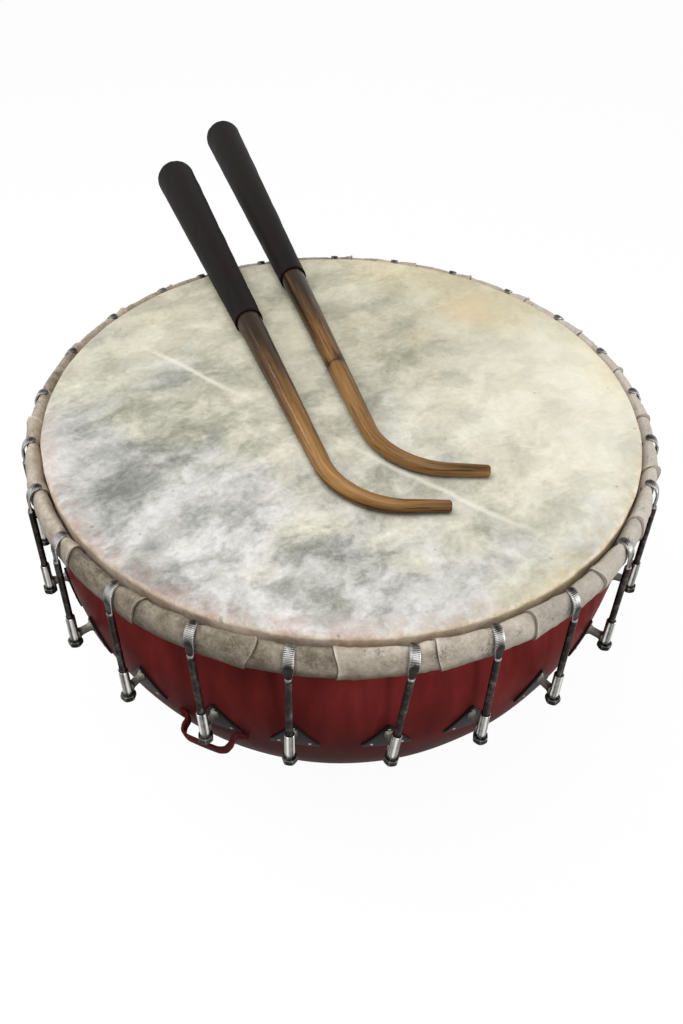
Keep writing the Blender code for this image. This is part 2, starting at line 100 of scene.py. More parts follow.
def addPiece(name, sheets, body, nodes, finish, attributes=(), sharp=50, endless=False):
    # sheets: points[copy, row, column, xyz + attributes], each row a closed ring; an endless sheet's last row
    # joins its first, and any other is closed at both ends by a fan to the middle of the ring
    blocks, faces, start = [], [], 0
    for points in sheets:
        copies, rows, columns, width = points.shape
        index = np.arange(rows * columns).reshape(rows, columns)
        index = np.vstack([index, index[:1]]) if endless else index
        index = np.hstack([index, index[:, :1]])
        quads = np.stack([index[:-1, :-1], index[:-1, 1:], index[1:, 1:], index[1:, :-1]], -1).reshape(-1, 4)
        block = points.reshape(copies, rows * columns, width)
        groups = [quads]
        if not endless:
            ends = points[:, [0, -1]].mean(2)
            block = np.concatenate([block, ends], 1)
            for ring, pole in ((index[0, ::-1], rows * columns), (index[-1], rows * columns + 1)):
                groups.append(np.stack([ring[:-1], ring[1:], np.full(len(ring) - 1, pole)], -1))
        shifts = start + np.arange(copies) * block.shape[1]
        for group in groups:
            faces += (group[None] + shifts[:, None, None]).reshape(-1, group.shape[1]).tolist()
        blocks.append(block.reshape(-1, width))
        start += len(blocks[-1])
    points = np.concatenate(blocks)
    mesh = bpy.data.meshes.new(name)
    mesh.from_pydata(points[:, :3].tolist(), [], faces)
    shape = bmesh.new()
    shape.from_mesh(mesh)
    bmesh.ops.recalc_face_normals(shape, faces=shape.faces)
    shape.to_mesh(mesh)
    shape.free()
    mesh.shade_smooth()
    mesh.set_sharp_from_angle(angle=math.radians(sharp))
    column = 3
    for label, size in attributes:
        kind, field = ("FLOAT", "value") if size == 1 else ("FLOAT_VECTOR", "vector")
        values = np.ascontiguousarray(points[:, column:column + size], np.float32)
        mesh.attributes.new(label, kind, "POINT").data.foreach_set(field, values.ravel())
        column += size
    mesh.materials.append(finish)
    piece = bpy.data.objects.new(name, mesh)
    scene.collection.objects.link(piece)
    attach(piece, body)
    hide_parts(*nodes)


def withColumns(points, *columns):
    # points with one more number each per attribute, spread over the grid's shape
    extra = [np.broadcast_to(c[..., None], points.shape[:-1] + (1,)) for c in columns]
    return np.concatenate([points, *extra], -1)


def around(count):
    # even angles round one turn, as one row
    return np.linspace(0, tau, count, endpoint=False)[None]


def roundAxis(radius, angle, z):
    # points turned about z: the radius times the cosine and the sine of the angle, and the height
    return np.stack(np.broadcast_arrays(radius * np.cos(angle), radius * np.sin(angle), z), -1)


def unit(vectors):
    # each vector over its own length
    return vectors / np.linalg.norm(vectors, axis=1, keepdims=True)


def travelled(path):
    # distance along a path: the running sum of the lengths of its steps
    return np.concatenate([[0], np.cumsum(np.linalg.norm(np.diff(path, axis=0), axis=1))])


def hump(distance, width):
    # a bell curve: e to the minus square of distance over width
    return np.exp(-(distance / width) ** 2)


def roundEnd(part):
    # a quarter circle: how full a rounded end is at this part of its run
    return np.sqrt(np.clip(1 - (1 - part) ** 2, 0, 1))


def smoothStep(low, high, value):
    # 0 up to low, 1 from high, and between them three squares of the part less two cubes
    part = np.clip((value - low) / (high - low), 0, 1)
    return part * part * (3 - 2 * part)


def ripple(a, b, seed):
    # even, repeatable lumpiness from about -1 to 1 over two angles: a sum of sines of rising whole pitch
    terms, total = 6, 0
    for k in range(1, terms + 1):
        total = total + np.sin(a * (3 * k + seed % 5) + b * (k % 3 + 1) + seed * k * 1.7) / terms
    return total * 1.6


# View: the lens and place that lay the CAD hoop and hooks over those in the picture
view = dict(place=(0.0026, -0.6829, 0.9141), aim=(0.00195, 0.0258, 0.2085), roll=1.911, lens=28.403,
            sensor=36)
forward = (Vector(view["aim"]) - Vector(view["place"])).normalized()
level = forward.cross(Vector((0, 0, 1))).normalized()
right = Matrix.Rotation(-math.radians(view["roll"]), 3, forward) @ level
upward = right.cross(forward)
turned = Matrix((right, upward, -forward)).transposed().to_4x4()
camera = bpy.data.objects.new("camera", bpy.data.cameras.new("camera"))
camera.matrix_world = Matrix.Translation(view["place"]) @ turned
camera.data.sensor_fit = "VERTICAL"
camera.data.sensor_width = camera.data.sensor_height = view["sensor"]
camera.data.lens = view["lens"]
camera.data.clip_start, camera.data.clip_end = 0.02, 60
scene.collection.objects.link(camera)
scene.camera = camera
scene.view_settings.view_transform = "Standard"

# Studio: a white sweep under one large soft lamp overhead, a small one in front, a soft one at the right side
# and a narrow one behind for glints
studio = dict(sky=0.46, floorSize=24.0, floorGlow=0.8, glow=1.19, paper=0.25, aim=(0, 0, 0.25),
              lamps=[("keyLamp", (-0.5, -0.5, 2.8), (2.2, 2.2), 46),
                     ("frontLamp", (1.41, -2.65, 0.62), (0.5, 0.5), 15),
                     ("sideLamp", (2.95, -0.52, 0.5), (1.2, 1.2), 38),
                     ("glintLamp", (-1.35, 0.45, 1.3), (1.0, 0.26), 6)])


def backdropRays(add):
    # 1 for a ray that shows the backdrop, straight or in a shiny or clear surface, and 0 for one that lights
    rays = add("LightPath").outputs
    seen = add("Math", {0: rays["Is Camera Ray"], 1: rays["Is Glossy Ray"]}, operation="MAXIMUM")
    return add("Math", {0: seen, 1: rays["Is Transmission Ray"]}, operation="MAXIMUM")


world = bpy.data.worlds.new("studio")
scene.world = world
add = freshTree(world)
strength = add("MapRange", {"Value": backdropRays(add), "To Min": studio["sky"]})
sky = add("Background", {"Color": (1, 1, 1, 1), "Strength": strength})
add("OutputWorld", {"Surface": sky})

# white to the eye, grey paper to the lamps, so that the object's shadow stays
sweep = bpy.data.materials.new("paper sweep")
add = freshTree(sweep)
share = add("Math", {0: backdropRays(add), 1: studio["floorGlow"]}, operation="MULTIPLY")
paper = add("BsdfDiffuse", {"Color": (studio["paper"],) * 3 + (1,)})
glow = add("Emission", {"Strength": studio["glow"]})
both = add("MixShader", {0: share, 1: paper, 2: glow})
add("OutputMaterial", {"Surface": both})
half = studio["floorSize"] / 2
mesh = bpy.data.meshes.new("floor")
mesh.from_pydata([(-half, -half, 0), (half, -half, 0), (half, half, 0), (-half, half, 0)], [], [(0, 1, 2, 3)])
mesh.materials.append(sweep)
floor = bpy.data.objects.new("floor", mesh)
scene.collection.objects.link(floor)
for name, place, size, power in studio["lamps"]:
    lamp = bpy.data.lights.new(name, "AREA")
    lamp.shape, lamp.energy = "ELLIPSE", power
    lamp.size, lamp.size_y = size
    holder = bpy.data.objects.new(name, lamp)
    holder.location = place
    holder.rotation_euler = (Vector(studio["aim"]) - Vector(place)).to_track_quat("-Z", "Y").to_euler()
    scene.collection.objects.link(holder)
print("view and studio set")

# Rods: their axes come from the frame's joints, so every fitting on them stands where the CAD has it
rods = dict(count=25, nutDrop=0.122675, strutLevel=0.266)
joints = {joint["name"]: joint for joint in frame["record"]["behaviour"]["joints"]}
numbers = ["%02d" % (i + 1) for i in range(rods["count"])]
rodUp = unit(np.array([joints["hook_%s_rise" % n]["axis"] for n in numbers], float))
nutPlace = np.array([joints["nut_%s_turn" % n]["pos_m"] for n in numbers], float)
rodTop = nutPlace + rodUp * rods["nutDrop"]
rodOut = unit(rodTop * (1, 1, 0))
flareSine = -(rodUp * rodOut).sum(1, keepdims=True)
flareCosine = np.sqrt(1 - flareSine ** 2)
clawUp = (rodUp + flareSine * rodOut) / flareCosine
rodSide = np.cross(clawUp, rodOut)
rodFace = np.cross(rodSide, rodUp)  # outward, square to the rod
lugPoint = rodTop + rodUp * ((rods["strutLevel"] - rodTop[:, 2:]) / rodUp[:, 2:])
lugAngle = np.arctan2(lugPoint[:, 1], lugPoint[:, 0])


def onFrames(origin, x, y, z, points):
    # points[row, column, 3] set in each frame of the arrays: one copy for each
    axes = np.stack([x, y, z], 1)
    return origin[:, None, None] + np.einsum("rck,nkj->nrcj", points, axes)


# Finishes: the noises in each dictionary have a size in millimetres, a detail and mostly a roughness
enamel, add, shader, place = startFinish("red stove enamel", {"Specular IOR Level": 0.004})
# stoved paint: deep red in slow clouds and long runs, dusty, finely pebbled; painted light makes it paler
# towards the neck and painted shade darkens it below
paintwork = dict(noises=[(111.1, 3.0), (2.381, 2.0), (3.333, 1.0)], runs=16.67, runLength=6.25,
                 neck=(0.28, 0.35), shadeBelow=(0.265, 0.2))
cloud, dust, peel = (add("TexNoise", {"Vector": place, "Scale": perMetre(size), "Detail": detail})
                     for size, detail in paintwork["noises"])
tall = add("Mapping", {"Vector": place, "Scale": (1, 1, 1 / paintwork["runLength"])})
runs = add("TexNoise", {"Vector": tall, "Scale": perMetre(paintwork["runs"]), "Detail": 4.0})
tone = add("Math", {0: cloud, 1: runs}, operation="ADD")
rise = add("SeparateXYZ", {"Vector": place}).outputs[2]
# painted light: the red is made paler up towards the neck
low, high = paintwork["neck"]
neck = add("MapRange", {"Value": rise, "From Min": low, "From Max": high, "To Max": 0.35})
tone = add("Math", {0: tone, 1: neck}, operation="ADD")
tone = add("MapRange", {"Value": tone, "From Min": 0.75, "From Max": 1.55})
paint = add("ValToRGB", {"Fac": tone},
            stops=[(0.0, "#561e1d"), (1.0, "#84312f"), (0.35, "#652423"), (0.65, "#722928")])
dusty = add("MapRange", {"Value": dust, "From Min": 0.64, "From Max": 0.78, "To Max": 0.6})
worn = add("Mix", {0: dusty, 6: paint, 7: "#4a2320"}, data_type="RGBA")
# painted shade: the red darkens towards #331617 low on the bowl
low, high = paintwork["shadeBelow"]
shadeBelow = add("MapRange", {"Value": rise, "From Min": low, "From Max": high, "To Max": 0.85})
shadedBelow = add("Mix", {0: shadeBelow, 6: worn, 7: "#331617"}, data_type="RGBA")
gloss = add("MapRange", {"Value": cloud, "To Min": 0.34, "To Max": 0.5})
bump = add("Bump", {"Height": peel, "Strength": 0.06, "Distance": 0.001})
plug(shader, {"Base Color": shadedBelow, "Roughness": gloss, "Normal": bump})

goatskin, add, shader, place = startFinish("goatskin head", {"Roughness": 0.6, "Specular IOR Level": 0.2})
# scraped hide: whitish clouds over grey, strongest at the front left, calm and cream to the right, pink at
# the front edge, with a tan collar and the pale line of the spine; patches: x, y, radius and how much paler
hide = dict(
    patches=[(-0.204, -0.047, 0.16, -0.11), (-0.192, -0.118, 0.08, -0.04), (-0.252, -0.105, 0.03, 0.1),
             (-0.152, -0.132, 0.03, 0.1), (-0.225, -0.168, 0.04, 0.09), (-0.104, -0.166, 0.05, 0.04),
             (0.007, -0.221, 0.05, -0.09), (-0.023, -0.262, 0.045, -0.05), (0.038, -0.274, 0.025, -0.13),
             (0.007, -0.238, 0.022, 0.13), (0.038, -0.226, 0.022, 0.13), (0.071, -0.214, 0.024, 0.11),
             (-0.065, -0.254, 0.05, 0.09), (0.065, -0.271, 0.035, 0.09), (0.105, -0.252, 0.03, -0.07),
             (0.05, 0.1, 0.12, -0.11), (0.26, 0.05, 0.2, 0.18), (0.2, -0.15, 0.11, 0.05),
             (0.24, -0.1, 0.12, 0.12), (0.12, -0.03, 0.1, 0.08), (-0.02, -0.285, 0.04, 0.08)],
    level=0.4015, amber=(0.144, 0.18, 0.4015), mean=0.66, bend=0.045,
    noises=[(62.5, 4.0, 0.5), (5.882, 5.0, 0.75), (18.18, 8.0, 0.75), (6.25, 0.0, 0.5)],
    bentNoises=[(83.33, 8.0, 0.62), (90.91, 4.0, 0.5), (25.0, 8.0, 0.74), (41.67, 6.0, 0.6)],
    spineTurn=33.84, spineOff=0.0582, spineFrom=-0.245, spineTo=0.285, spineWaver=0.012)
warp, fleck, stain, speck = (
    add("TexNoise", {"Vector": place, "Scale": perMetre(size), "Detail": detail, "Roughness": rough})
    for size, detail, rough in hide["noises"])
bent = add("Mix", {0: hide["bend"], 4: place, 5: warp.outputs["Color"]}, data_type="VECTOR")
shifted = add("VectorMath", {0: bent, 1: (-hide["bend"] / 2, -hide["bend"] / 2, 0)}, operation="ADD")
turned = add("Mapping", {"Vector": bent, "Rotation": (0, 0, 0.73), "Scale": (1.25, 0.85, 1.0)},
             vector_type="TEXTURE")
broad, hue, streak, blot = (
    add("TexNoise", {"Vector": vector, "Scale": perMetre(size), "Detail": detail, "Roughness": rough})
    for vector, (size, detail, rough) in zip((bent, bent, turned, turned), hide["bentNoises"]))
mass = -0.09
for noise, weight in ((broad, 0.6), (streak, 0.55), (fleck, 0.3)):
    mass = add("Math", {0: noise, 1: weight, 2: mass}, operation="MULTIPLY_ADD")
blot = add("MapRange", {"Value": blot, "From Min": 0.42, "From Max": 0.58, "To Min": -0.065, "To Max": 0.065},
           interpolation_type="SMOOTHSTEP")
mass = add("Math", {0: mass, 1: blot}, operation="ADD")
headX, headY = add("SeparateXYZ", {"Vector": shifted}).outputs[:2]
calm = add("MapRange", {"Value": headY, "From Min": -0.2, "From Max": 0.1, "To Min": 1.2, "To Max": 0.62})
quiet = add("MapRange", {"Value": headX, "From Min": 0.02, "From Max": 0.2, "To Min": 1.0, "To Max": 0.65})
calm = add("Math", {0: calm, 1: quiet}, operation="MULTIPLY")
mass = add("Math", {0: mass, 1: hide["mean"]}, operation="SUBTRACT")
mass = add("Math", {0: mass, 1: calm, 2: hide["mean"]}, operation="MULTIPLY_ADD")
for x, y, size, amount in hide["patches"]:
    gap = add("VectorMath", {0: shifted, 1: (x, y, hide["level"])}, operation="DISTANCE")
    soft = add("MapRange", {"Value": gap, "From Max": size, "To Min": amount, "To Max": 0.0},
               interpolation_type="SMOOTHSTEP")
    mass = add("Math", {0: mass, 1: soft}, operation="ADD")
tone = add("MapRange", {"Value": mass, "From Min": 0.36, "From Max": 0.9})
skin = add("ValToRGB", {"Fac": tone}, stops=[(0.0, "#7d7e76"), (1.0, "#f0efea"), (0.25, "#a2a39a"),
                                             (0.5, "#c5c4bc"), (0.75, "#dddcd4")])
lean = add("VectorMath", {0: shifted, 1: (0.5, 1.2, 0)}, operation="DOT_PRODUCT")
lean = add("Math", {0: hue, 1: 0.9, 2: lean}, operation="MULTIPLY_ADD")
lean = add("MapRange", {"Value": lean, "From Min": 0.1, "From Max": 0.8})
wash = add("ValToRGB", {"Fac": lean}, stops=[(0.0, "#f4f3f8"), (1.0, "#faf0d6"), (0.15, "#f6f5f7"),
                                             (0.32, "#f7f5ea"), (0.62, "#f9f5e6"), (0.85, "#faf4e1")])
warm = add("Mix", {0: 1.0, 6: skin, 7: wash}, data_type="RGBA", blend_type="MULTIPLY")
gap = add("VectorMath", {0: shifted, 1: hide["amber"]}, operation="DISTANCE")
amber = add("MapRange", {"Value": gap, "From Min": 0.004, "From Max": 0.045, "To Min": 0.5, "To Max": 0.0},
            interpolation_type="SMOOTHSTEP")
warm = add("Mix", {0: amber, 6: warm, 7: "#d3bd95"}, data_type="RGBA")
flat = add("VectorMath", {0: place, 1: (1, 1, 0)}, operation="MULTIPLY")
radius = add("VectorMath", {0: flat}, operation="LENGTH")
rim = add("MapRange", {"Value": radius, "From Min": 0.283, "From Max": 0.304, "To Max": 0.75})
stain = add("MapRange", {"Value": stain, "From Min": 0.4, "From Max": 0.6})
rim = add("Math", {0: rim, 1: stain}, operation="MULTIPLY")
fore = add("MapRange", {"Value": headY, "From Min": -0.01, "From Max": -0.13, "To Min": 0.25})
rim = add("Math", {0: rim, 1: fore}, operation="MULTIPLY")
blush = add("MapRange", {"Value": headX, "From Max": 0.16})
flush = add("Mix", {0: blush, 6: "#b2938a", 7: "#c3b28b"}, data_type="RGBA")
aged = add("Mix", {0: rim, 6: warm, 7: flush}, data_type="RGBA")
collar = add("MapRange", {"Value": radius, "From Min": 0.3025, "From Max": 0.305, "To Max": 0.8})
straw = add("Mix", {0: blush, 6: "#bfa893", 7: "#bba980"}, data_type="RGBA")
tan = add("Mix", {0: stain, 6: "#ecdcc8", 7: straw}, data_type="RGBA")
edged = add("Mix", {0: collar, 6: aged, 7: tan}, data_type="RGBA")
spine = add("Mapping", {"Vector": place, "Rotation": (0, 0, math.radians(hide["spineTurn"]))})
onSpine, besideSpine = add("SeparateXYZ", {"Vector": spine}).outputs[:2]
offset = add("Math", {0: warp, 1: hide["spineWaver"], 2: besideSpine}, operation="MULTIPLY_ADD")
offset = add("Math", {0: offset, 1: hide["spineOff"] - hide["spineWaver"] / 2}, operation="ADD")
offset = add("Math", {0: offset}, operation="ABSOLUTE")
ridge = add("MapRange", {"Value": offset, "From Max": 0.0055, "To Min": 0.6, "To Max": 0.0},
            interpolation_type="SMOOTHSTEP")
for low, high in ((hide["spineFrom"], hide["spineFrom"] + 0.05), (hide["spineTo"], hide["spineTo"] - 0.09)):
    fade = add("MapRange", {"Value": onSpine, "From Min": low, "From Max": high})
    ridge = add("Math", {0: ridge, 1: fade}, operation="MULTIPLY")
middle = add("Math", {0: onSpine, 1: 0.02}, operation="ADD")
middle = add("Math", {0: middle}, operation="ABSOLUTE")
fade = add("MapRange", {"Value": middle, "From Min": 0.04, "From Max": 0.11, "To Min": 0.12})
ridge = add("Math", {0: ridge, 1: fade}, operation="MULTIPLY")
boned = add("Mix", {0: ridge, 6: edged, 7: "#e9e6d8"}, data_type="RGBA")
speck = add("MapRange", {"Value": speck, "From Min": 0.82, "From Max": 0.87, "To Max": 0.4})
marked = add("Mix", {0: speck, 6: boned, 7: "#6e6350"}, data_type="RGBA")
bump = add("Bump", {"Height": fleck, "Strength": 0.12, "Distance": 0.001})
plug(shader, {"Base Color": marked, "Normal": bump})

rawhide, add, shader, place = startFinish("lapped rawhide", {"Roughness": 0.7, "Specular IOR Level": 0.2})
# dried hide: cream handled grey, each sleeve of its own tone, with painted shade on its underside, dirt and
# painted shade in the steps along its seams, paler to the right, with dark wisps of hair left in it
sleeve = dict(noises=[(16.67, 6.0, 0.62), (2.632, 4.0, 0.7), (1.923, 3.0, 0.5), (22.22, 4.0, 0.5)])
blotch, grain, combed, patch = (
    add("TexNoise", {"Vector": place, "Scale": perMetre(size), "Detail": detail, "Roughness": rough})
    for size, detail, rough in sleeve["noises"])
tint, under, seamDirtAndShade = (add("Attribute", attribute_name=label).outputs["Fac"]
                      for label in ("tint", "under", "seamDirtAndShade"))
tone = 0.2
for part, weight in ((blotch, 0.6), (grain, 0.35), (tint, 0.05)):
    tone = add("Math", {0: part, 1: weight, 2: tone}, operation="MULTIPLY_ADD")
tone = add("MapRange", {"Value": tone, "From Min": 0.44, "From Max": 0.94})
skin = add("ValToRGB", {"Fac": tone}, stops=[(0.0, "#4f483c"), (1.0, "#d5ccc0"), (0.3, "#857b6b"),
                                             (0.55, "#a59a8a"), (0.78, "#bdb2a4")])
# painted shade: the underside of the hoop's section is multiplied darker
shade = add("Mix", {0: under, 6: skin, 7: "#8c8170"}, data_type="RGBA", blend_type="MULTIPLY")
across = add("SeparateXYZ", {"Vector": place}).outputs[0]
# paler towards +x, mixed to #cfc7be
paleRight = add("MapRange", {"Value": across, "From Min": 0.03, "From Max": 0.27, "To Max": 0.6})
pale = add("Mix", {0: paleRight, 6: shade, 7: "#cfc7be"}, data_type="RGBA")
wisp = add("Math", {0: combed, 1: patch}, operation="MULTIPLY")
wisp = add("MapRange", {"Value": wisp, "From Min": 0.31, "From Max": 0.42, "To Max": 0.55})
# the hair wisps, and the dirt with painted shade in the seams' steps, darken the hide
wisp = add("Math", {0: wisp, 1: seamDirtAndShade}, operation="MAXIMUM")
haired = add("Mix", {0: wisp, 6: pale, 7: "#4e463b"}, data_type="RGBA")
bump = add("Bump", {"Height": grain, "Strength": 0.35, "Distance": 0.0012})
plug(shader, {"Base Color": haired, "Normal": bump})

plating = {}
metals = dict(stain=7.692, finishes=[("worn zinc plate", "#292422", "#e6e5e1", 0.26),
                                     ("bright tube", "#2c2b29", "#e0dfdb", 0.2),
                                     ("oiled nut", "#171615", "#a5a29b", 0.32),
                                     ("dull steel", "#1f1b19", "#8a857c", 0.42)])
for label, dark, lit, rough in metals["finishes"]:
    # plated and bare steel: bright where rubbed, and bright or dark where highlights and reflections are
    # painted into the same attribute; dulled by oil and dust in the hollows
    plating[label], add, shader, place = startFinish(label, {"Metallic": 1.0})
    stain = add("TexNoise", {"Vector": place, "Scale": perMetre(metals["stain"]), "Detail": 5.0,
                             "Roughness": 0.65})
    wearAndSheen = add("Attribute", attribute_name="wearAndSheen")
    mixed = add("Math", {0: stain, 1: 0.55, 2: wearAndSheen.outputs["Fac"]}, operation="MULTIPLY_ADD")
    mixed = add("MapRange", {"Value": mixed, "From Min": 0.25, "From Max": 1.15})
    metal = add("ValToRGB", {"Fac": mixed}, stops=[(0.0, dark), (1.0, lit)])
    polish = add("MapRange", {"Value": mixed, "To Min": rough + 0.2, "To Max": rough})
    bump = add("Bump", {"Height": stain, "Strength": 0.08, "Distance": 0.001})
    plug(shader, {"Base Color": metal, "Roughness": polish, "Normal": bump})

cane, add, shader, place = startFinish("varnished cane", {
    "Specular IOR Level": 0.05, "Coat Weight": 0.2, "Coat Roughness": 0.06})
# steamed, varnished cane: golden at the bend, scorched by the grip, fibres along it, a brown ring at a node,
# and painted shade, paler on the upper left and darker on the lower right
culm = dict(noises=[(3.03, 5.0, 0.65), (9.091, 3.0, 0.5), (1.923, 2.0, 0.5)])
# the node attribute carries the rings and the painted shade round the cane
along, node = (add("Attribute", attribute_name=label).outputs["Fac"] for label in ("along", "node"))
fibre = add("Attribute", attribute_name="fibre").outputs["Vector"]
strand, smoke, crack = (
    add("TexNoise", {"Vector": fibre, "Scale": perMetre(size), "Detail": detail, "Roughness": rough})
    for size, detail, rough in culm["noises"])
scorchAndShade = add("MapRange", {"Value": along, "From Min": 0.42, "To Max": 0.5})
for part, weight in ((smoke, 0.75), (node, 0.5), (strand, 0.7)):
    scorchAndShade = add("Math", {0: part, 1: weight, 2: scorchAndShade}, operation="MULTIPLY_ADD")
crack = add("MapRange", {"Value": crack, "From Min": 0.6, "From Max": 0.72, "To Max": 0.3})
scorchAndShade = add("Math", {0: scorchAndShade, 1: crack}, operation="ADD")
scorchAndShade = add("MapRange", {"Value": scorchAndShade, "From Min": 0.45, "From Max": 1.2})
wood = add("ValToRGB", {"Fac": scorchAndShade}, stops=[(0.0, "#a9814e"), (1.0, "#281a0c"), (0.3, "#8b6539"),
                                              (0.6, "#634625"), (0.8, "#432e17")])
gloss = add("MapRange", {"Value": strand, "To Min": 0.22, "To Max": 0.42})
bump = add("Bump", {"Height": strand, "Strength": 0.15, "Distance": 0.001})
plug(shader, {"Base Color": wood, "Roughness": gloss, "Normal": bump})

rubber, add, shader, place = startFinish("black sleeve rubber", {"Specular IOR Level": 0.06})
# moulded rubber: matt black with a brown cast, greyed where hands rub it, a fine pebble in the surface
pebble = dict(noises=[(25.0, 4.0), (1.429, 2.0)])
rub, grit = (add("TexNoise", {"Vector": place, "Scale": perMetre(size), "Detail": detail})
             for size, detail in pebble["noises"])
black = add("ValToRGB", {"Fac": rub}, stops=[(0.3, "#0e0b0a"), (0.75, "#1a1413")])
matt = add("MapRange", {"Value": rub, "To Min": 0.45, "To Max": 0.7})
bump = add("Bump", {"Height": grit, "Strength": 0.12, "Distance": 0.0006})
plug(shader, {"Base Color": black, "Roughness": matt, "Normal": bump})
print("finishes made")

# Kettle: a wall turned round the axis, with the slow unevenness of beaten sheet
kettle = dict(neck=0.3035, neckLevel=0.3552, swell=0.010, bellyLevel=0.290, base=0.112, wall=0.003,
              top=0.400, round=0.0042, flange=0.0095, pole=0.004, dent=0.00045, columns=360)
belly = kettle["neck"] + kettle["swell"]
bowlDepth = kettle["bellyLevel"] / math.sqrt(1 - (kettle["base"] / belly) ** 2)


def wallRadius(z):
    # straight neck, half a cosine out to the belly, then a quarter ellipse down to the base
    shoulder = (kettle["neckLevel"] - z) / (kettle["neckLevel"] - kettle["bellyLevel"])
    bend = kettle["neck"] + kettle["swell"] * (1 - np.cos(math.pi * np.clip(shoulder, 0, 1))) / 2
    bowl = belly * np.sqrt(np.clip(1 - ((kettle["bellyLevel"] - z) / bowlDepth) ** 2, 0, 1))
    return np.where(z < kettle["bellyLevel"], bowl, bend)


def wallSlope(z):
    # the wall's change of radius over a millimetre of height, divided by that millimetre
    return (wallRadius(z + 0.0005) - wallRadius(z - 0.0005)) / 0.001


neck, top, wall = kettle["neck"], kettle["top"], kettle["wall"]
levels = np.concatenate([np.linspace(top - kettle["round"], 0.02, 100), np.linspace(0.019, 0, 14)])
turn = np.linspace(math.pi / 2, 0, 7)
edge = np.stack([neck - kettle["round"] * (1 - np.cos(turn)), top - kettle["round"] * (1 - np.sin(turn))], -1)
inside = np.linspace(wall + 0.001, top - wall, 50)
rim = [(neck - kettle["flange"], top - wall), (neck - kettle["flange"], top)]
profile = np.concatenate([
    [(kettle["pole"], wall), (0.06, wall)], np.stack([wallRadius(inside) - wall, inside], -1), rim, edge,
    np.stack([wallRadius(levels), levels], -1), [(kettle["base"] * 0.6, 0), (kettle["pole"], 0)]])
angle = around(kettle["columns"])
z = profile[:, 1:]
outer = (np.arange(len(profile)) >= 2 + len(inside) + len(rim) + len(edge))[:, None]
uneven = outer * smoothStep(0.36, 0.32, z) * smoothStep(0.0, 0.03, z) * kettle["dent"]
radius = profile[:, :1] - uneven * (1 + ripple(angle, z * 30, 2))
addPiece("kettle", [roundAxis(radius, angle, z)[None]], "drum", ["shell"], enamel)

# Lugs: a riveted plate, a bar welded to it and a tube on the rod's axis
lug = dict(plateLevel=0.2605, halfWidth=0.025, halfHeight=0.0205, proud=0.002, cornerPower=16,
           rivet=0.0017, rivetFlat=0.55, rivetSpots=[(0.0, 0.0132), (-0.0142, -0.0146), (0.0142, -0.0146)],
           barWide=0.005, barTall=0.008, weld=0.0018, weldSpots=(0.0015, 0.0165), weldRun=0.0016,
           tubeTop=0.086, tubeLength=0.0332, tubeRadius=0.0046, boreRadius=0.00348, tubeRound=0.0005)


def onWall(spotY, spotZ, height):
    # points of a lug's plate laid on the wall: along the wall, up it and off it, for every lug
    z = lug["plateLevel"] + spotZ
    r = wallRadius(z) + height
    angle = lugAngle[:, None, None] + spotY / r
    return roundAxis(r, angle, z)


domeRise, domeTurn = np.linspace(0.12, 1, 6)[:, None] * math.pi / 2, around(18)


def panHead(radius, flatness):
    # a rivet's head, a half sphere pressed flat: offsets along the sheet, up it and off it
    return (radius * np.sin(domeRise) * np.cos(domeTurn), radius * np.sin(domeRise) * np.sin(domeTurn),
            radius * flatness * np.cos(domeRise) - 0.0002 + 0 * domeTurn)


centreZ = -lug["halfHeight"] / 3
turn = around(60)
sides = [(-math.pi / 2, lug["halfHeight"] + centreZ)]
slant = math.atan2(lug["halfWidth"], 2 * lug["halfHeight"])
for way in (slant, math.pi - slant):
    sides.append((way, lug["halfWidth"] * math.cos(slant) + (-lug["halfHeight"] - centreZ) * math.sin(slant)))
# rounded triangle: the p-norm of the three sides' distances along each direction
power = lug["cornerPower"]
reach = sum((np.clip(np.cos(turn - way), 1e-6, 1) / gap) ** power for way, gap in sides) ** (-1 / power)
steps = np.array([(0.15, 1), (0.5, 1), (0.8, 1), (0.93, 1), (0.975, 0.9), (1, 0.6), (1, -0.3), (0.5, -0.3)])
spread = reach * steps[:, :1]
height = lug["proud"] * steps[:, 1:] + 0 * turn
plates = onWall(spread * np.cos(turn), centreZ + spread * np.sin(turn), height)
edgeWear = (steps[:, :1] > 0.96) * 0.2 - 0.4
addPiece("lugPlates", [withColumns(plates, edgeWear)], "drum", ["shell"],
         plating["dull steel"], [("wearAndSheen", 1)])

sheets = []
alongWall, upWall, offWall = panHead(lug["rivet"], lug["rivetFlat"])
for spotY, spotZ in lug["rivetSpots"]:
    head = onWall(spotY + alongWall, spotZ + upWall, lug["proud"] + offWall)
    # rubbed wear and a painted highlight: each rivet head lighter at its top than round its rim
    sheets.append(withColumns(head, -0.05 + 0.45 * np.cos(domeRise)))
addPiece("lugRivets", sheets, "drum", ["shell"], plating["worn zinc plate"], [("wearAndSheen", 1)])

lugOut = roundAxis(1.0, lugAngle, 0.0)
lugUp = np.broadcast_to((0.0, 0.0, 1.0), lugOut.shape)
lugSide = np.cross(lugUp, lugOut)
wallAt = float(wallRadius(np.array(rods["strutLevel"])))
run = np.array([-0.001, 0.001, 0.0022, 0.0032, 0.005, 0.010, 0.0125, 0.0145, 0.016, 0.0175])[:, None]
turn = around(24)
swell = lug["weld"] * sum(hump(run - spot, lug["weldRun"]) for spot in lug["weldSpots"])
# a bar of rounded rectangular section, fuller where the welds are
corner = 0.98 * np.maximum(np.abs(np.cos(turn)), np.abs(np.sin(turn))) ** -0.8
bar = np.stack([run + 0 * turn, (lug["barWide"] / 2 + swell) * corner * np.cos(turn),
                (lug["barTall"] / 2 + swell) * corner * np.sin(turn)], -1)
bars = onFrames(lugOut * wallAt + (0, 0, rods["strutLevel"]), lugOut, lugSide, lugUp, bar)
# painted light: each bar's top face lighter than its underside
addPiece("lugBars", [withColumns(bars, 0.35 + 0.3 * np.sin(turn))], "drum", ["shell"],
         plating["dull steel"], [("wearAndSheen", 1)])

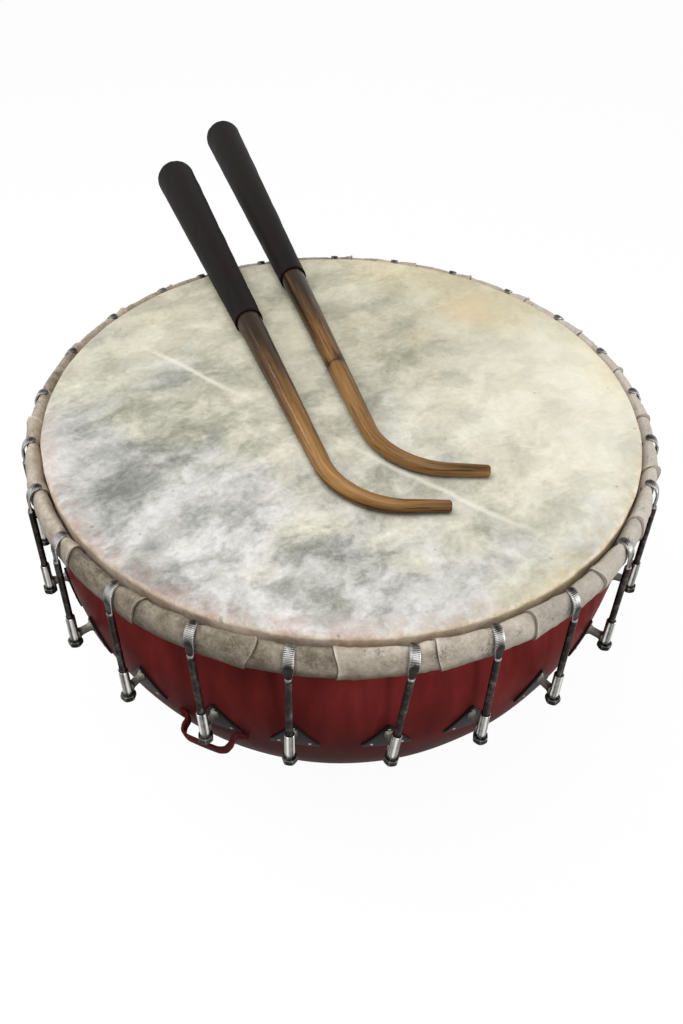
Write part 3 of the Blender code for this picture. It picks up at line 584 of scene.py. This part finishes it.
low, high = -lug["tubeTop"] - lug["tubeLength"], -lug["tubeTop"]
turn = around(28)
soft, out, bore = lug["tubeRound"], lug["tubeRadius"], lug["boreRadius"]
ring = np.array([(out - soft, high), (out - 0.3 * soft, high - 0.3 * soft), (out, high - soft),
                 (out, high - 0.012), (out, low + 0.012), (out, low + soft),
                 (out - 0.3 * soft, low + 0.3 * soft), (out - soft, low), (bore + 0.0002, low),
                 (bore, low + 0.0004), (bore, high - 0.0004), (bore + 0.0002, high)])
tubes = onFrames(rodTop, rodFace, rodSide, rodUp, roundAxis(ring[:, :1], turn, ring[:, 1:]))
# painted reflection: lengthwise bright and dark bands round each tube, set by the angle from its outward side
wearAndSheen = 0.4 + 0.4 * np.cos(turn * 4 + 0.9) * (0.6 + 0.4 * np.cos(turn)) + 0.25 * np.cos(turn * 9 + 2)
addPiece("lugTubes", [withColumns(tubes, wearAndSheen)], "drum", ["shell"], plating["bright tube"],
         [("wearAndSheen", 1)], endless=True)
print("kettle and lugs built")

# Head: the skin over the bearing edge, down the collar and under the hoop, slack by part of a millimetre
head = dict(radius=0.305, top=0.4015, skin=0.0012, round=0.0051, tuck=0.007, pole=0.004, columns=480,
            slack=0.00028)
hoop = dict(radius=0.3152, level=0.3792, halfWide=0.0081, halfTall=0.0177)
middle = head["radius"] - head["skin"] / 2
surface = head["top"] - head["skin"] / 2
tuckLevel = hoop["level"] - hoop["halfTall"] + head["tuck"]
turn = np.linspace(math.pi / 2, 0, 12)
dip = np.linspace(math.pi, 1.5 * math.pi, 8)
flatRun = np.linspace(head["pole"], middle - head["round"], 64)[:-1]
line = np.concatenate([
    np.stack([flatRun, np.full(len(flatRun), surface)], -1),
    np.stack([middle - head["round"] * (1 - np.cos(turn)), surface - head["round"] * (1 - np.sin(turn))], -1),
    np.stack([np.full(5, middle), np.linspace(head["top"] - 0.010, tuckLevel + 0.003, 5)], -1),
    np.stack([middle + head["tuck"] * (1 + np.cos(dip)), tuckLevel + head["tuck"] * np.sin(dip)], -1),
    [(hoop["radius"] - 0.001, hoop["level"] - hoop["halfTall"] + 0.0003)]])
along = unit(np.gradient(line, axis=0))
normal = np.stack([-along[:, 1], along[:, 0]], -1)
upper = line + normal * head["skin"] / 2
lower = (line - normal * head["skin"] / 2)[::-2]
angle = around(head["columns"])
both = np.concatenate([upper, lower])
r, z = both[:, :1], both[:, 1:]
row = np.arange(len(both))[:, None]
x, y = r * np.cos(angle), r * np.sin(angle)
slack = head["slack"] * (0.5 + 0.5 * ripple(x * 9, y * 11, 3))
slack = slack * (row < len(flatRun)) * smoothStep(0.29, 0.26, r)
crease = (row >= len(flatRun) + 4) & (row < len(upper) - 6)
pull = crease * (0.0006 + 0.0004 * ripple(angle * 2, z * 60, 4))
skin = roundAxis(r + pull, angle, z - slack)
addPiece("headSkin", [skin[None]], "drum", ["head_skin"], goatskin)

# Lap: sleeves of hide drawn round the hoop, each one's end lapping over the next; angles in degrees
lap = dict(seams=[-89.6, -81.1, -64, -47.5, -31.8, -12.8, 0.9, 15.5, 31.3, 46.1, 60.5, 75, 90, 105.5, 120,
                  136, 150.5, 165, 180.5, 195, 210, 224.5, 239, 254.5],
           tints=[1.5, 2.0, 1.6, -1.8, -1.7, -1.5, 1.5, 1.2, -1.3, -1.2, 0.4, -0.9, 0.9, -0.7, 0.3, 0.1,
                  -0.6, 0.9, -1.0, 0.8, -0.5, 0.0, 0.4, -0.8],
           leftOver=(-31.8, -12.8, -47.5, -64), lift=0.0018, tuck=0.0007, overlap=0.55, hidden=2.2, back=0.9,
           rows=70, columns=48, lump=0.0005, pinch=0.0012, pinchTop=0.0009, pinchWide=0.008, ease=7,
           cutWide=0.35, cutPale=2.2, dirtAndShade=0.9, dirtAndShadeOff=1.85, dirtAndShadeWide=0.22)
seams = np.array(lap["seams"])[:, None, None]
following = np.append(seams[1:], seams[:1] + 360, 0)
leftOver = np.isin(seams, lap["leftOver"])
nextLeftOver = np.roll(leftOver, -1, 0)
order = np.arange(len(seams))[:, None, None]
u = np.linspace(0, 1, lap["rows"])[None, :, None]
u = u - 0.09 * np.sin(tau * u)  # more rows at both ends
turn = around(lap["columns"])[None]
lift = np.sin(turn)
slants = np.where(leftOver, -0.9, 1.1).ravel()


def cornerAngle(k, angle):
    # how far round the hoop's section an angle is from seam k's loose corner
    return angle - 1.1 + 0.7 * np.sin(3.1 * k)


def seamLine(k, angle):
    # a seam's edge slants and wanders round the section, with one corner standing out: a sum of sines
    slant = slants[k] * (0.8 + 0.3 * np.sin(5 * k))
    return 0.4 * np.cos(cornerAngle(k, angle)) + 0.3 * np.sin(2 * angle + 2.3 * k) - slant * np.sin(angle)


first = seams + seamLine(order, turn) + np.where(leftOver, lap["back"], -lap["overlap"])
last = following + seamLine((order + 1) % len(seams), turn)
last = last + np.where(nextLeftOver, lap["overlap"], -lap["back"])
first = np.where(leftOver, first - lap["hidden"], first)  # the lower end runs on out of sight
last = np.where(nextLeftOver, last, last + lap["hidden"])
degrees = first + (last - first) * u
ease, deep = lap["ease"], 2 * lap["ease"]
lifted = np.where(leftOver, 0, np.exp(-u * ease)) + np.where(nextLeftOver, np.exp(-(1 - u) * ease), 0)
tucked = np.where(leftOver, np.exp(-u * deep), 0) + np.where(nextLeftOver, 0, np.exp(-(1 - u) * deep))
flap = 1 + 1.3 * np.clip(np.cos(cornerAngle(order, turn)), 0, 1) ** 6 * np.exp(-np.minimum(u, 1 - u) * 30)
theta = np.radians(degrees)
lumps = lap["lump"] * (ripple(theta * 3, turn, 1) + 0.6 * ripple(theta * 11, turn * 2, 4))
hookTheta = np.arctan2(rodTop[:, 0], -rodTop[:, 1])
apart = (theta[..., None] - hookTheta + math.pi) % tau - math.pi
pinch = hump(apart * hoop["radius"], lap["pinchWide"]).sum(-1)
pressed = lap["pinch"] * smoothStep(-0.6, 0.3, lift) + lap["pinchTop"] * smoothStep(0.1, 0.8, lift)
out = lap["lift"] * lifted * flap - lap["tuck"] * tucked + lumps - pinch * pressed
r = hoop["radius"] + (hoop["halfWide"] + out) * np.cos(turn)
z = hoop["level"] + (hoop["halfTall"] + out * 0.8) * lift
points = np.stack([r * np.sin(theta), -r * np.cos(theta), z + 0 * theta], -1)
cutEdge = np.where(leftOver, 0, hump(degrees - first, lap["cutWide"])) \
    + np.where(nextLeftOver, hump(last - degrees, lap["cutWide"]), 0)
tint = np.array(lap["tints"])[:, None, None] + lap["cutPale"] * cutEdge  # pale along the cut
# painted shade: 1 on the underside of the hoop's section, 0 on top
under = smoothStep(0.15, -0.75, lift)
# dirt and painted shade in the step beside each overlapping sleeve end
dirtAndShadeOff, dirtAndShadeWide = lap["dirtAndShadeOff"], lap["dirtAndShadeWide"]
seamDirtAndShade = lap["dirtAndShade"] * (np.where(leftOver, hump(degrees - first - dirtAndShadeOff, dirtAndShadeWide), 0)
                       + np.where(nextLeftOver, 0, hump(last - degrees - dirtAndShadeOff, dirtAndShadeWide)))  # in the step
addPiece("hoopLap", [withColumns(points, tint, under, seamDirtAndShade)], "drum", ["head_skin"], rawhide,
         [("tint", 1), ("under", 1), ("seamDirtAndShade", 1)], sharp=60)
frame["nodes"]["flesh_hoop"].data.materials.clear()
frame["nodes"]["flesh_hoop"].data.materials.append(plating["dull steel"])
print("head and lapped hoop built")

# Hooks: a threaded rod, flattened and bent over the hoop; the flat ends in a rounded tongue
hook = dict(clawOut=0.0109, clawUp=0.0174, lip=112, halfThick=0.0013, halfWide=0.0046, rod=0.003175,
            tongue=0.0095, length=0.12785, pitch=0.00127, depth=0.00042, columns=16,
            ridge=0.0014, ridgeWide=0.0002, ridgeThick=0.00016, tip=0.005, taper=0.14, spoon=0.0072)
tongue = hook["tongue"]
flare = float(np.arcsin(flareSine.mean()))
down = np.array([math.sin(flare), 0, -math.cos(flare)])
bend = np.radians(np.linspace(hook["lip"], 0, 72))
claw = np.stack([hook["clawOut"] * (np.cos(bend) - 1), 0 * bend, hook["clawUp"] * np.sin(bend)], -1)
clawNormal = unit(np.stack([hook["clawUp"] * np.cos(bend), 0 * bend, hook["clawOut"] * np.sin(bend)], -1))
shank = np.concatenate([np.linspace(0.001, tongue + 0.003, 26),
                        np.arange(tongue + 0.0034, hook["length"], hook["pitch"] / 4), [hook["length"]]])
path = np.concatenate([claw, shank[:, None] * down])
normal = np.concatenate([clawNormal, np.broadcast_to((math.cos(flare), 0, math.sin(flare)), (len(shank), 3))])
travel = travelled(path)
below = np.concatenate([np.full(len(claw), -1.0), shank])
tip = roundEnd(np.clip(travel / hook["tip"], 0.05, 1))
blend = smoothStep(tongue - 0.003, tongue + 0.001, below)
spoon = roundEnd(1 - np.clip((below - tongue + 0.006) / hook["spoon"], 0, 1))
ridged = np.concatenate([smoothStep(0.1, 0.3, bend) * smoothStep(1.6, 1.1, bend), 0 * shank])
ridges = np.sin(tau * travel / hook["ridge"]) * ridged
taper = 1 - hook["taper"] * smoothStep(-0.5, 0.010, below)
wide = hook["halfWide"] * taper * tip * spoon + hook["ridgeWide"] * ridges
wide = wide * (1 - blend) + hook["rod"] * blend
wide = np.maximum(wide, hook["rod"] * smoothStep(-0.5, 0.001, below))
thick = hook["halfThick"] * (0.4 + 0.6 * tip) + hook["ridgeThick"] * ridges
thick = thick * (1 - blend) + hook["rod"] * blend
turn = around(hook["columns"])
front = np.clip(np.cos(turn), 0, 1)
# thread: the radius falls into the groove once for each pitch and turn
groove = 0.5 - 0.5 * np.cos(tau * below[:, None] / hook["pitch"] - turn)
cut = smoothStep(tongue + 0.002, tongue + 0.004, below)[:, None] * hook["depth"] * groove
band = (1 - blend)[:, None]
square = 1 + (np.maximum(np.abs(np.cos(turn)), np.abs(np.sin(turn))) ** -0.6 - 1) * band
across = (thick[:, None] - cut) * np.cos(turn) * square
along = (wide[:, None] - cut) * np.sin(turn) * square
shape = path[:, None] + normal[:, None] * across[..., None] + np.array((0, 1.0, 0)) * along[..., None]
# wear: bright at the claw's edges and ridges, a painted highlight on the crown, a painted dark reflection in
# the dish, dark in the thread
edges = np.abs(np.sin(turn)) ** 3
dishReflection = np.concatenate([smoothStep(0.5, 0.2, bend), 0 * shank + 1])[:, None] * front
crownHighlight = np.concatenate([hump(bend - 0.9, 0.3), 0 * shank])[:, None] * front
rubbed = ridges[:, None] * (0.12 + 0.33 * np.abs(np.sin(turn)))
wearAndSheen = band * (0.4 * edges + 0.4 * crownHighlight - 0.4 * dishReflection * (1 - edges) + rubbed) \
    + (1 - band) * (-0.11 + 0.12 * (1 - groove)) + 0.35 * hump(below - tongue + 0.0005, 0.0012)[:, None]
hooks = onFrames(rodTop, rodOut, rodSide, clawUp, shape)
for i, n in enumerate(numbers):
    addPiece("hook_" + n, [withColumns(hooks[i:i + 1], wearAndSheen)], "hook_" + n,
             ["tension_hook_" + n], plating["worn zinc plate"], [("wearAndSheen", 1)])

# Nuts: six flats cut back by a cone at both ends, rubbed bright at the edges
nut = dict(flat=0.00635, height=0.00635, face=0.00555, bore=0.003475, chamfer=0.0006, columns=72)
turn = around(nut["columns"])
sector = (turn + math.pi / 6) % (math.pi / 3) - math.pi / 6
hexagon = nut["flat"] / np.cos(sector)
tall, bore, chamfer = nut["height"] / 2, nut["bore"], nut["chamfer"]
levels = np.array([-1, -0.97, -0.86, -0.74, -0.4, 0.4, 0.74, 0.86, 0.97, 1])[:, None] * tall
cone = nut["flat"] * 1.155 - np.clip(np.abs(levels) - 0.70 * tall, 0, 1) * 1.15
ring = np.array([(nut["face"], tall), (bore + chamfer, tall), (bore, tall - chamfer),
                 (bore, -tall + chamfer), (bore + chamfer, -tall), (nut["face"], -tall)])
radius = np.concatenate([np.minimum(hexagon, cone), ring[:, :1] + 0 * turn])
shape = roundAxis(radius, turn, np.concatenate([levels, ring[:, 1:]]))
edge = np.concatenate([hump(np.abs(levels) / tall - 0.95, 0.1), np.full((len(ring), 1), 0.2)])
wearAndSheen = -0.05 + 0.4 * edge + 0.25 * hump(np.abs(sector) - math.pi / 6, 0.09)
nuts = onFrames(nutPlace, rodFace, rodSide, rodUp, shape)
for i, n in enumerate(numbers):
    addPiece("nut_" + n, [withColumns(nuts[i:i + 1], wearAndSheen)], "nut_" + n, ["tension_nut_" + n],
             plating["oiled nut"], [("wearAndSheen", 1)], sharp=28, endless=True)
print("hooks and nuts built")

# Sling loops: strap bent out from the wall between two riveted feet
sling = dict(angles=(-21.3, 158.7), level=0.232, span=0.0237, reach=0.022, foot=0.013, wide=0.014,
             thick=0.003, corner=0.008, footBend=0.0035, gap=0.0003, rivet=0.0034, rivetFlat=0.5)
wallHere = float(wallRadius(np.array(sling["level"])))
tilt = math.atan(float(wallSlope(np.array(sling["level"]))))
span, corner, footBend = sling["span"], sling["corner"], sling["footBend"]
near, far = sling["gap"] + sling["thick"] / 2, sling["reach"] - sling["thick"] / 2
halfPlan = np.array([(near, span + sling["foot"]), (near, span + footBend), (near + footBend, span),
                     (far - corner, span), (far - 0.0023, span - 0.0023), (far, span - corner), (far, 0)])
plan = np.concatenate([halfPlan, halfPlan[-2::-1] * (1, -1)])
travel = travelled(plan)
run = np.linspace(0, travel[-1], 120)
plan = np.stack([np.interp(run, travel, plan[:, 0]), np.interp(run, travel, plan[:, 1])], -1)
for _ in range(4):
    plan[1:-1] = (plan[:-2] + 2 * plan[1:-1] + plan[2:]) / 4  # eases the bends
along = unit(np.gradient(plan, axis=0))
turn = around(32)
# strap section: a rectangle with rounded edges, from the eighth-power norm of its two directions
flatness = (np.abs(np.cos(turn)) ** 8 + np.abs(np.sin(turn)) ** 8) ** (-1 / 8)
ends = roundEnd(np.clip(np.minimum(run, run[-1] - run) / 0.007, 0.02, 1))[:, None]
offAcross = sling["thick"] / 2 * flatness * np.cos(turn)
offUp = sling["wide"] / 2 * flatness * np.sin(turn) * ends
off = plan[:, :1] + along[:, 1:] * offAcross
side = plan[:, 1:] - along[:, :1] * offAcross
rivetSide, rivetUp, rivetOff = panHead(sling["rivet"], sling["rivetFlat"])
rivetOff = near + sling["thick"] / 2 + rivetOff
footMiddle = span + sling["foot"] * 0.55
for number, degrees in enumerate(sling["angles"], 1):
    sheets = []
    for offWall, up, beside in ((off, offUp, side), (rivetOff, rivetUp, footMiddle + rivetSide),
                                (rivetOff, rivetUp, -footMiddle + rivetSide)):
        theta = math.radians(degrees) + beside / wallHere
        r = wallHere + offWall * math.cos(tilt) + up * math.sin(tilt)
        z = sling["level"] - offWall * math.sin(tilt) + up * math.cos(tilt)
        sheets.append(np.stack([r * np.sin(theta), -r * np.cos(theta), z], -1)[None])
    addPiece("slingLoop_%d" % number, sheets, "drum", ["sling_loop_%d" % number], enamel)
print("sling loops built")

# Sticks: cane bent at one end, lying on the head, with a long rubber sleeve; each of the pair has its corner,
# the degrees where it crosses the hoop, the lengths of handle and sleeve, and the places of its rings
stick = dict(pair=[((0.004, -0.1695), 212.6, 0.307, 0.385, ()),
                   ((0.0435, -0.1145), 197.5, 0.348, 0.440, (0.243,))],
             angle=107.5, foot=0.097, bend=0.080, tip=0.006, cane=0.0145, inGrip=0.02, gripFront=0.0163,
             gripEnd=0.0265, gripRound=0.005, mouth=0.0004, gap=0.0003, columns=40, uneven=0.012, drawn=0.045,
             dark=0.13, soft=0.00032)
rest = head["top"] + stick["gap"]
caneTip, caneEnd, rounding = stick["tip"], stick["cane"], stick["gripRound"]
gripFront, gripEnd, mouth = stick["gripFront"], stick["gripEnd"], stick["mouth"]
for number, (corner, crossing, handleLength, gripLength, rings) in enumerate(stick["pair"], 1):
    corner, crossing = np.array(corner), math.radians(crossing)
    handle = hoop["radius"] * np.array((math.sin(crossing), -math.cos(crossing))) - corner
    handle /= np.linalg.norm(handle)
    swing = -math.radians(stick["angle"])
    c, s = math.cos(swing), math.sin(swing)
    foot = np.array((c * handle[0] - s * handle[1], s * handle[0] + c * handle[1]))
    # the bend: an arc that meets foot and handle a trim's length from their corner
    halfTurn = math.radians(180 - stick["angle"]) / 2
    trim = stick["bend"] * math.tan(halfTurn)
    inward = (foot + handle) / np.linalg.norm(foot + handle)
    centre = corner + inward * stick["bend"] / math.cos(halfTurn)
    sweepTo = np.linspace(-halfTurn, halfTurn, 60)[:, None]
    sideways = np.array((inward[1], -inward[0]))
    sideways *= np.sign(sideways @ handle)
    arc = centre - inward * stick["bend"] * np.cos(sweepTo) + sideways * stick["bend"] * np.sin(sweepTo)
    straight = handleLength - trim
    onward = trim + np.linspace(0, straight + stick["inGrip"], 90)[1:, None]
    plan = np.concatenate([corner + foot * np.linspace(stick["foot"], trim, 26)[:-1, None], arc,
                           corner + handle * onward])
    travel = travelled(plan)
    whole = travel[-1] - stick["inGrip"]
    radius = caneTip + (caneEnd - caneTip) * np.clip(travel / whole, 0, 1)
    toBend = whole - straight
    base = caneTip + (caneEnd - caneTip) * toBend / whole
    climb = max((caneEnd - base) / straight, (gripFront - base) / straight,
                (gripEnd - base) / (straight + gripLength))
    z = rest + np.where(travel < toBend, radius, base + climb * (travel - toBend))
    centreLine = np.concatenate([plan, z[:, None]], 1)
    along = unit(np.gradient(centreLine, axis=0))
    beside = unit(np.cross(along, (0, 0, 1.0)))
    above = np.cross(beside, along)
    fromRing = travel - np.array(rings)[:, None]
    closing = roundEnd(np.clip(travel / 0.003, 0.0, 1)) * 0.22 + 0.78
    turn = around(stick["columns"])
    uneven = 1 - stick["uneven"] * (1 + ripple(turn, travel[:, None] * 60, 2))
    girth = (radius * closing)[:, None] * uneven - 0.0003 * hump(fromRing - 0.003, 0.0016).sum(0)[:, None]
    shape = centreLine[:, None] + beside[:, None] * (girth * np.cos(turn))[..., None] \
        + above[:, None] * (girth * np.sin(turn))[..., None]
    # fibre: the section's own coordinates, drawn out along the cane, so that grain runs with it
    drawn = (travel * stick["drawn"])[:, None] + 0 * turn
    fibre = np.stack([girth * np.cos(turn), girth * np.sin(turn), drawn], -1) + number * 0.37
    # node: brown rings, the foot's dark end, and painted light and shade, paler on the upper left and darker
    # on the lower right
    ringsAndShade = hump(fromRing - 0.004, 0.007).sum(0)[:, None] * (0.55 + 0.45 * np.sin(turn * 2 + 0.5)) \
        + 0.8 * hump(fromRing, 0.0012).sum(0)[:, None]
    ringsAndShade = ringsAndShade + 0.25 * np.clip(1 - travel / stick["dark"], 0, 1)[:, None] \
        + 0.55 * (0.5 - 0.5 * np.cos(turn - 2.1))
    full = withColumns(np.concatenate([shape, fibre], -1), (travel / whole)[:, None], ringsAndShade)
    addPiece("caneStick_%d" % number, [full[None]], "stick_%d" % number, ["stick_%d_cane" % number],
             cane, [("fibre", 3), ("along", 1), ("node", 1)])

    # sleeve: turned along the handle's line, its mouth open a little round the cane, its far end a flat dome
    axis = np.append(handle, climb) / math.hypot(1, climb)
    start = np.append(corner + handle * handleLength, rest + base + climb * straight)
    crosswise = np.cross(axis, (0, 0, 1.0))
    crosswise /= np.linalg.norm(crosswise)
    over = np.cross(crosswise, axis)
    step = np.linspace(0, 1, 90)
    flank = gripFront + (gripEnd - gripFront) * step
    length = step * (gripLength - rounding)
    quarter = np.linspace(0, math.pi / 2, 12)[1:]
    domeR = gripEnd - rounding * 1.6 * (1 - np.cos(quarter))
    domeL = gripLength - rounding + rounding * np.sin(quarter)
    capR = np.linspace(domeR[-1], 0.001, 8)[1:]
    profileR = np.concatenate([[caneEnd - 0.002, caneEnd + mouth, gripFront - 0.0005], flank, domeR, capR])
    profileL = np.concatenate([[0.004, mouth, 0.0], length + 0.0006 * (step < 0.001), domeL,
                               np.full(len(capR), gripLength)])
    soft = stick["soft"] * (ripple(turn, profileL[:, None] * 42, number + 1) - 1)
    soft = soft * smoothStep(0, 0.01, profileL)[:, None]
    girth = profileR[:, None] + soft * np.minimum(profileR / gripFront, 1)[:, None]
    rubberSleeve = start + axis * profileL[:, None, None] + crosswise * (girth * np.cos(turn))[..., None] \
        + over * (girth * np.sin(turn))[..., None]
    addPiece("stickSleeve_%d" % number, [rubberSleeve[None]], "stick_%d" % number,
             ["stick_%d_grip" % number], rubber)
print("sticks built")
